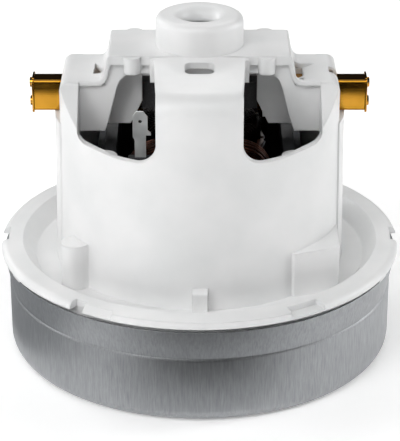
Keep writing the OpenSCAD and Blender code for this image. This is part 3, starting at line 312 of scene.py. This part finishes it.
def drawnZincSteel():
    material, tree, shader = startMaterial("drawnZincSteel", zinc["color"], Metallic=1.0)
    streak = noise(tree, zinc["streak"], detail=4, rough=0.65)
    colorBy(tree, shader, streak, zinc["dark"], zinc["light"], zinc["mix"])
    roughBy(tree, shader, noise(tree, zinc["patch"]), zinc["roughness"])
    bumpBy(tree, shader, streak, zinc["depth"], zinc["edge"])
    return material


# Glass-filled nylon, injection moulded: matt black, slightly grey where light rakes it, with a
# grain that is drawn coarse enough to show.
nylon = {"color": "17181a", "pale": "222326", "cloudSize": 6, "sheenSize": 3, "roughness": (0.47, 0.65),
         "grain": 1.2, "depth": 0.02}


def mouldedNylon():
    material, tree, shader = startMaterial("mouldedNylon", nylon["color"], IOR=1.53)
    colorBy(tree, shader, noise(tree, nylon["cloudSize"], detail=3), nylon["color"], nylon["pale"])
    roughBy(tree, shader, noise(tree, nylon["sheenSize"]), nylon["roughness"])
    bumpBy(tree, shader, noise(tree, nylon["grain"]), nylon["depth"])
    return material


# A metal with fine marks along one way, drawn, turned, rolled or ground, and broad worn areas.
# The marks are drawn coarser than they are, so that they show.
wornSize = 9


def markedMetal(name, color, worn, marks, roughness, depth=0.006):
    material, tree, shader = startMaterial(name, color, Metallic=1.0)
    lines = noise(tree, marks, detail=3, rough=0.6)
    colorBy(tree, shader, noise(tree, wornSize), worn, color)
    roughBy(tree, shader, lines, roughness)
    bumpBy(tree, shader, lines, depth)
    return material


# Dynamo sheet, punched and stacked: dark blue-grey, coloured darker still as painted shade for its place
# inside the housing, with one fine line for each thin sheet, which wavers slightly along its length.
sheets = {"color": "2b2c2f", "edge": "151618", "mix": (0.1, 0.55), "sheet": 0.4084, "waver": 12.566,
          "rubbed": 2, "roughness": (0.35, 0.55), "depth": 0.08}
linesPerUnit = 20 / math.tau  # of the wave node at a scale of 1


def stackedSheets():
    material, tree, shader = startMaterial("stackedSheets", sheets["color"], Metallic=1.0)
    size = (sheets["waver"], sheets["waver"], sheets["sheet"])
    wave = addNode(tree, "ShaderNodeTexWave",
                   {"Vector": stretched(tree, size), "Scale": 1 / linesPerUnit, "Distortion": 0.3,
                    "Detail": 1.0}, bands_direction="Z").outputs["Fac"]
    colorBy(tree, shader, wave, sheets["edge"], sheets["color"], sheets["mix"])
    roughBy(tree, shader, noise(tree, sheets["rubbed"]), sheets["roughness"])
    bumpBy(tree, shader, wave, sheets["depth"])
    return material


# Enamelled winding wire: copper under a brown enamel, glossy, darker where it is thick; its dark colour
# is partly painted shade for the coils' place inside the housing. The armature's end turns are dipped in
# a duller varnish and coloured near black, painted shade for their place deep inside the housing.
shadedEnamel = {"color": "4a2617", "thick": "24120a", "coat": 0.4}
shadedVarnish = {"color": "170d08", "thick": "0b0604", "coat": 0.03}
windingWire = {"runSize": 5, "glossSize": 1.5, "roughness": (0.22, 0.38), "coatRoughness": 0.2,
               "grain": 0.8, "depth": 0.01}


def enamelledCopper(name, dip):
    material, tree, shader = startMaterial(name, dip["color"], Metallic=1.0, Coat_Weight=dip["coat"],
                                           Coat_Roughness=windingWire["coatRoughness"])
    colorBy(tree, shader, noise(tree, windingWire["runSize"], detail=3), dip["thick"], dip["color"])
    roughBy(tree, shader, noise(tree, windingWire["glossSize"]), windingWire["roughness"])
    bumpBy(tree, shader, noise(tree, windingWire["grain"]), windingWire["depth"])
    return material


# Pressed carbon-graphite: soft dark grey with a sparkle of graphite grains.
carbon = {"color": "2d2e31", "grain": "46484c", "mix": (0.5, 0.75), "speck": 0.5,
          "roughness": (0.6, 0.38), "depth": 0.02}


def pressedCarbon():
    material, tree, shader = startMaterial("pressedCarbon", carbon["color"], IOR=1.8)
    speck = noise(tree, carbon["speck"])
    colorBy(tree, shader, speck, carbon["color"], carbon["grain"], carbon["mix"])
    roughBy(tree, shader, speck, carbon["roughness"])
    bumpBy(tree, shader, speck, carbon["depth"])
    return material


# Phenolic resin, moulded: dark brown with a low gloss and paler filler flecks.
phenolic = {"color": "3b2114", "fleck": "54321f", "mix": (0.5, 0.7), "fleckSize": 1.1, "sheenSize": 3,
            "roughness": (0.3, 0.46), "grain": 0.9, "depth": 0.012}


def mouldedPhenolic():
    material, tree, shader = startMaterial("mouldedPhenolic", phenolic["color"], IOR=1.6)
    fleck = noise(tree, phenolic["fleckSize"], detail=3)
    colorBy(tree, shader, fleck, phenolic["color"], phenolic["fleck"], phenolic["mix"])
    roughBy(tree, shader, noise(tree, phenolic["sheenSize"]), phenolic["roughness"])
    bumpBy(tree, shader, noise(tree, phenolic["grain"]), phenolic["depth"])
    return material


finishes = {
    "white_plastic": mouldedPolyester(),
    "zinc_steel": drawnZincSteel(),
    "black_plastic": mouldedNylon(),
    # die-cast aluminium: pale grey, blurred by a skin grain
    "cast_aluminium": markedMetal("castAluminium", color="a6a8ab", worn="8f9194", marks=1.4,
                                  roughness=(0.42, 0.58), depth=0.03),
    # bright zinc-plated steel: screws, springs, washers
    "bright_steel": markedMetal("platedSteel", color="b9bbbd", worn="9fa1a4", marks=(0.5, 0.5, 2.5),
                                roughness=(0.19, 0.35)),
    # hardened steel, ground and polished: fine rings round the axis
    "bearing_steel": markedMetal("groundSteel", color="c3c5c7", worn="aeb0b2", marks=(12, 12, 0.35),
                                 roughness=(0.1, 0.26)),
    "lamination_steel": stackedSheets(),
    "copper_wire": enamelledCopper("enamelledCopper", shadedEnamel),
    # turned copper: orange-brown with turning rings and a darker brush track
    "bare_copper": markedMetal("turnedCopper", color="c17a52", worn="8b4f33", marks=(10, 10, 0.4),
                               roughness=(0.18, 0.34)),
    # tinned brass, stamped: a dull, mottled grey-white
    "tinned_brass": markedMetal("tinnedBrass", color="dcdedd", worn="b4b6b6", marks=(0.7, 0.7, 1.4),
                                roughness=(0.47, 0.63)),
    # drawn brass tube, polished: a warm gold mirror with faint lines along the tube
    "brass": markedMetal("drawnBrass", color="d69c38", worn="bf8a2c", marks=(14, 0.4, 0.4),
                         roughness=(0.04, 0.08), depth=0.0004),
    "carbon": pressedCarbon(),
    "brown_moulding": mouldedPhenolic(),
    # rolled aluminium sheet: bright with rolling marks along X
    "sheet_aluminium": markedMetal("rolledAluminium", color="c6c8ca", worn="b2b4b6", marks=(16, 0.5, 0.5),
                                   roughness=(0.24, 0.4)),
}
# the armature's winding: a duller varnish, and a near-black colour that is painted shade deep inside the
# housing
shadedVarnishedCopper = enamelledCopper("shadedVarnishedCopper", shadedVarnish)

print("stage: CAD pieces get their finish and softened edges")

slotOf = {part["node"]: part["material_slot"] for part in frame["record"]["subparts"]}

# width of the softened edge in mm; nodes that aren't named here keep their sharp edges
edges = {"brush_cap_left": 0.2, "brush_cap_right": 0.2, "coil_frame_upper": 0.3,
         "coil_frame_lower": 0.3, "carbon_brush_left": 0.2, "carbon_brush_right": 0.2}

# angles in degrees, weld distance in mm
softening = {"smoothBelow": 32, "tubeSmoothBelow": 8, "weld": 0.002, "flatWithin": 0.6, "bevelAbove": 38}


def smoothGroup(angle):  # node group that smooths faces but keeps edges sharper than an angle
    tree = bpy.data.node_groups.new("smoothBelowAngle", "GeometryNodeTree")
    tree.interface.new_socket("Geometry", in_out="INPUT", socket_type="NodeSocketGeometry")
    tree.interface.new_socket("Geometry", in_out="OUTPUT", socket_type="NodeSocketGeometry")
    start = addNode(tree, "NodeGroupInput")
    faces = addNode(tree, "GeometryNodeSetShadeSmooth",
                    {"Geometry": start.outputs[0], "Shade Smooth": True})
    bend = addNode(tree, "GeometryNodeInputMeshEdgeAngle")
    gentle = addNode(tree, "FunctionNodeCompare", {"A": bend.outputs["Unsigned Angle"],
                                                    "B": math.radians(angle)}, operation="LESS_THAN")
    sharp = addNode(tree, "GeometryNodeSetShadeSmooth", {"Geometry": faces.outputs[0],
                                                          "Shade Smooth": gentle.outputs["Result"]},
                    domain="EDGE")
    end = addNode(tree, "NodeGroupOutput")
    tree.links.new(sharp.outputs[0], end.inputs[0])
    return tree


smoothing = smoothGroup(softening["smoothBelow"])
flatSides = smoothGroup(softening["tubeSmoothBelow"])  # keeps the sides of the brass tubes mirror flat


def soften(thing, width):
    held = thing.data.attributes.get("custom_normal")
    if held:
        thing.data.attributes.remove(held)
    weld = thing.modifiers.new("weld", "WELD")
    weld.merge_threshold = softening["weld"] * mm
    if width:
        flats = thing.modifiers.new("joinFlats", "DECIMATE")
        flats.decimate_type = "DISSOLVE"
        flats.angle_limit = math.radians(softening["flatWithin"])
        bevel = thing.modifiers.new("softEdge", "BEVEL")
        bevel.width = width * mm
        bevel.segments = 2
        bevel.limit_method = "ANGLE"
        bevel.angle_limit = math.radians(softening["bevelAbove"])
        bevel.use_clamp_overlap = True
        bevel.miter_outer = "MITER_ARC"
    smooth = thing.modifiers.new("smooth", "NODES")
    smooth.node_group = flatSides if "tube" in thing.name else smoothing
    level = thing.modifiers.new("flatsStayFlat", "WEIGHTED_NORMAL")
    level.mode = "FACE_AREA"
    level.keep_sharp = True


for name, thing in nodes.items():  # the windings, springs and leads are replaced below
    thing.data.materials.clear()
    thing.data.materials.append(finishes[slotOf[name]])
    soften(thing, edges.get(name, 0))

print("stage: wound and coiled pieces")


def tube(points, radius, sides=8):  # a round tube along a path, with closed ends
    corners, faces, side = [], [], None
    for i, point in enumerate(points):
        ahead = (points[min(i + 1, len(points) - 1)] - points[max(i - 1, 0)]).normalized()
        side = ahead.orthogonal() if side is None else side
        side = (side - ahead * side.dot(ahead)).normalized()
        up = ahead.cross(side)
        for k in range(sides):
            angle = math.tau * k / sides
            corners.append(point + radius * (math.cos(angle) * side + math.sin(angle) * up))
            if i:
                a, b = (i - 1) * sides + k, (i - 1) * sides + (k + 1) % sides
                faces.append((a, b, b + sides, a + sides))
    faces.append(tuple(range(sides))[::-1])
    faces.append(tuple(len(corners) - sides + k for k in range(sides)))
    return corners, faces


def lathe(outline, segments=72):  # a closed outline of radius and height, turned about Z
    corners, faces, count = [], [], len(outline)
    for i in range(segments):
        angle = math.tau * i / segments
        corners += [Vector((r * math.cos(angle), r * math.sin(angle), z)) for r, z in outline]
        for k in range(count):
            a, b = i * count + k, i * count + (k + 1) % count
            far = ((i + 1) % segments) * count
            faces.append((a, far + k, far + (k + 1) % count, b))
    return corners, faces


def makePiece(name, parts, material, replaced, body):  # one piece from parts in mm
    corners, faces = [], []
    for partCorners, partFaces in parts:
        start = len(corners)
        corners += [corner * mm for corner in partCorners]
        faces += [[start + k for k in face] for face in partFaces]
    mesh = meshOf(name, corners, faces)
    mesh.shade_smooth()
    mesh.materials.append(material)
    thing = addThing(name, mesh)
    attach(thing, body)
    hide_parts(replaced)
    return thing


# field coil: one enamelled wire wound in layers, outwards and then back in, sizes in mm
fieldCoil = {"wire": 0.96, "pitch": 1.0, "layers": 7, "turns": 9, "cornerSteps": 6, "climbSteps": 4,
             "halfX": 15.6, "halfZ": 18.65, "corner": 3.0, "nearY": 25.6, "middleZ": 57.0, "stray": 0.03}
quarters = ((1, 1), (1, -1), (-1, -1), (-1, 1))  # signs of X and Z at the coil's four corners


def coilPath(way):  # way is 1 for the rear coil and -1 for the front one
    points, size = [], fieldCoil
    stations = 4 * (size["cornerSteps"] + 1)
    count = size["turns"] * stations
    for layer in range(size["layers"]):
        last = layer == size["layers"] - 1
        for i in range(count):
            share = i / (count - 1)
            grow = (1 - share if layer % 2 else share) * (size["turns"] - 1) * size["pitch"]
            quarter, step = divmod(i % stations, size["cornerSteps"] + 1)
            angle = math.radians(90 * (quarter + step / size["cornerSteps"]))
            signX, signZ = quarters[quarter]
            bend = size["corner"] + grow
            x = signX * (size["halfX"] - size["corner"]) + bend * math.sin(angle)
            z = signZ * (size["halfZ"] - size["corner"]) + bend * math.cos(angle)
            climb = 0 if last else max(0, i - count + size["climbSteps"]) / size["climbSteps"]
            y = size["nearY"] + (layer + climb) * size["pitch"]
            stray = [random.uniform(-1, 1) * size["stray"] for _ in range(3)]
            points.append(Vector((x + stray[0], way * (y + stray[1]), size["middleZ"] + z + stray[2])))
    return points


for name, way in (("field_coil_rear", 1), ("field_coil_front", -1)):
    coil = tube(coilPath(way), fieldCoil["wire"] / 2)
    makePiece(name.replace("field_coil", "wound_field_coil"), [coil], finishes["copper_wire"],
              name, "motor_frame")

# armature winding: a packed core at each end, wires that cross over it, and slot sides, sizes in mm
armature = {"slots": 12, "slotRing": 17.4, "slotRadius": 2.85, "slotZ": (39.4, 56, 74.6), "slotSides": 20,
            "innerR": 7.2, "outerR": 20.9, "round": 3.0, "lowZ": (31.6, 40.2), "highZ": (73.8, 83.4),
            "inset": 0.55}  # how far the core lies under the wires

# wires that cross over an end: reach in slots, fan in degrees at the slot and spread in mm at the
# shaft between neighbours, bow as the power that shapes the arch, lift of every other wire in mm
crossing = {"perSlot": 8, "wire": 0.62, "reach": 5, "fan": 2.2, "steps": 24, "bow": 0.8, "gap": 0.02,
            "fromShaft": 1.2, "spread": 1.15, "lift": 0.25, "tuck": 0.6}


def packedEnd(z0, z1):  # a ring with rounded edges
    size = armature
    cut, outline = size["round"] - size["inset"], []
    r0, r1 = size["innerR"] + size["inset"], size["outerR"] - size["inset"]
    z0, z1 = z0 + size["inset"], z1 - size["inset"]
    for r, z, start in ((r1 - cut, z1 - cut, 0), (r0 + cut, z1 - cut, 90), (r0 + cut, z0 + cut, 180),
                        (r1 - cut, z0 + cut, 270)):
        turns = [math.radians(start + turn) for turn in range(0, 91, 15)]
        outline += [(r + cut * math.cos(turn), z + cut * math.sin(turn)) for turn in turns]
    return lathe(outline)


def crossingWire(slot, wire, base, top):  # from one slot over the end and round the shaft to another
    ring, size, points = armature, crossing, []
    up = 1 if top > base else -1
    half = size["wire"] / 2
    outer = ring["outerR"] - half - size["gap"]
    nearest = ring["innerR"] + size["fromShaft"] + wire * size["spread"]
    bend = ring["round"] - half
    start = 360 * slot / ring["slots"] + (wire - (size["perSlot"] - 1) / 2) * size["fan"]
    lift = size["lift"] if (slot + wire) % 2 else 0
    for k in range(size["steps"] + 1):
        t = k / size["steps"]
        angle = math.radians(start + 360 * size["reach"] / ring["slots"] * t)
        r = outer - (outer - nearest) * math.sin(math.pi * t) ** size["bow"]
        past = max(0, r - (outer - bend), (ring["innerR"] + ring["round"]) - r)
        drop = bend - math.sqrt(max(0, bend ** 2 - min(past, bend) ** 2))
        z = top - up * (half + size["gap"] + drop + lift)
        points.append(Vector((r * math.cos(angle), r * math.sin(angle), z)))
    for end, place in ((points[0], 0), (points[-1], len(points) + 1)):
        points.insert(place, Vector((end.x, end.y, base + up * size["tuck"])))
    return tube(points, half, sides=6)


def makeArmatureWinding():
    size = armature
    (lowTop, lowBase), (highBase, highTop) = size["lowZ"], size["highZ"]
    parts = [packedEnd(*size["lowZ"]), packedEnd(*size["highZ"])]
    for slot in range(size["slots"]):
        angle = math.tau * slot / size["slots"]
        x, y = size["slotRing"] * math.cos(angle), size["slotRing"] * math.sin(angle)
        path = [Vector((x, y, z)) for z in size["slotZ"]]
        parts.append(tube(path, size["slotRadius"], size["slotSides"]))
        for wire in range(crossing["perSlot"]):
            parts.append(crossingWire(slot, wire, highBase, highTop))
            parts.append(crossingWire(slot, wire, lowBase, lowTop))
    makePiece("wound_armature", parts, shadedVarnishedCopper, "armature_winding", "rotor")


makeArmatureWinding()

# brush spring and its lead, on the +X side, sizes in mm
brushSpring = {"mean": 2.55, "wire": 0.5, "sides": 12, "turns": 8, "inner": 40.6, "outer": 54.4,
               "steps": 24, "closed": 0.55, "keep": 0.565}
brushLead = {"inner": 40.4, "outer": 54.6, "strands": 6, "ring": 0.5, "strand": 0.26, "sides": 7,
             "twist": 5.5, "steps": 40}
brushZ = 90.35


def springPath(side):  # one closed turn at each end, open turns between them
    size, points = brushSpring, []
    total = size["turns"] + 2
    middle = size["outer"] - size["inner"] - size["wire"] - 2 * size["closed"]
    for i in range(total * size["steps"] + 1):
        turn = i / size["steps"]
        closed = min(turn, 1) + max(0, turn - total + 1)
        opened = min(max(turn - 1, 0), size["turns"])
        x = size["inner"] + size["wire"] / 2 + (closed * size["closed"] + opened * middle / size["turns"])
        y, z = size["mean"] * math.cos(math.tau * turn), size["mean"] * math.sin(math.tau * turn)
        points.append(Vector((side * x, y, brushZ + z)))
    return points


def leadStrands(side):  # one straight strand and the others twisted round it
    size, strands = brushLead, []
    for k in range(size["strands"] + 1):
        ring = size["ring"] if k else 0
        path = []
        for i in range(size["steps"] + 1):
            x = size["inner"] + (size["outer"] - size["inner"]) * i / size["steps"]
            angle = math.tau * (k / size["strands"] + (x - size["inner"]) / size["twist"])
            path.append(Vector((side * x, ring * math.cos(angle), brushZ + ring * math.sin(angle))))
        strands.append(tube(path, size["strand"], size["sides"]))
    return strands


for hand, side in (("left", -1), ("right", 1)):
    coil = tube(springPath(side), brushSpring["wire"] / 2, brushSpring["sides"])
    spring = makePiece("coiled_spring_" + hand, [coil], finishes["bright_steel"],
                       "brush_spring_" + hand, "motor_frame")
    lead = makePiece("twisted_lead_" + hand, leadStrands(side), finishes["bare_copper"],
                     "brush_lead_" + hand, "motor_frame")
    for piece, end in ((spring, brushSpring["outer"]), (lead, brushLead["outer"])):
        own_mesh(piece)
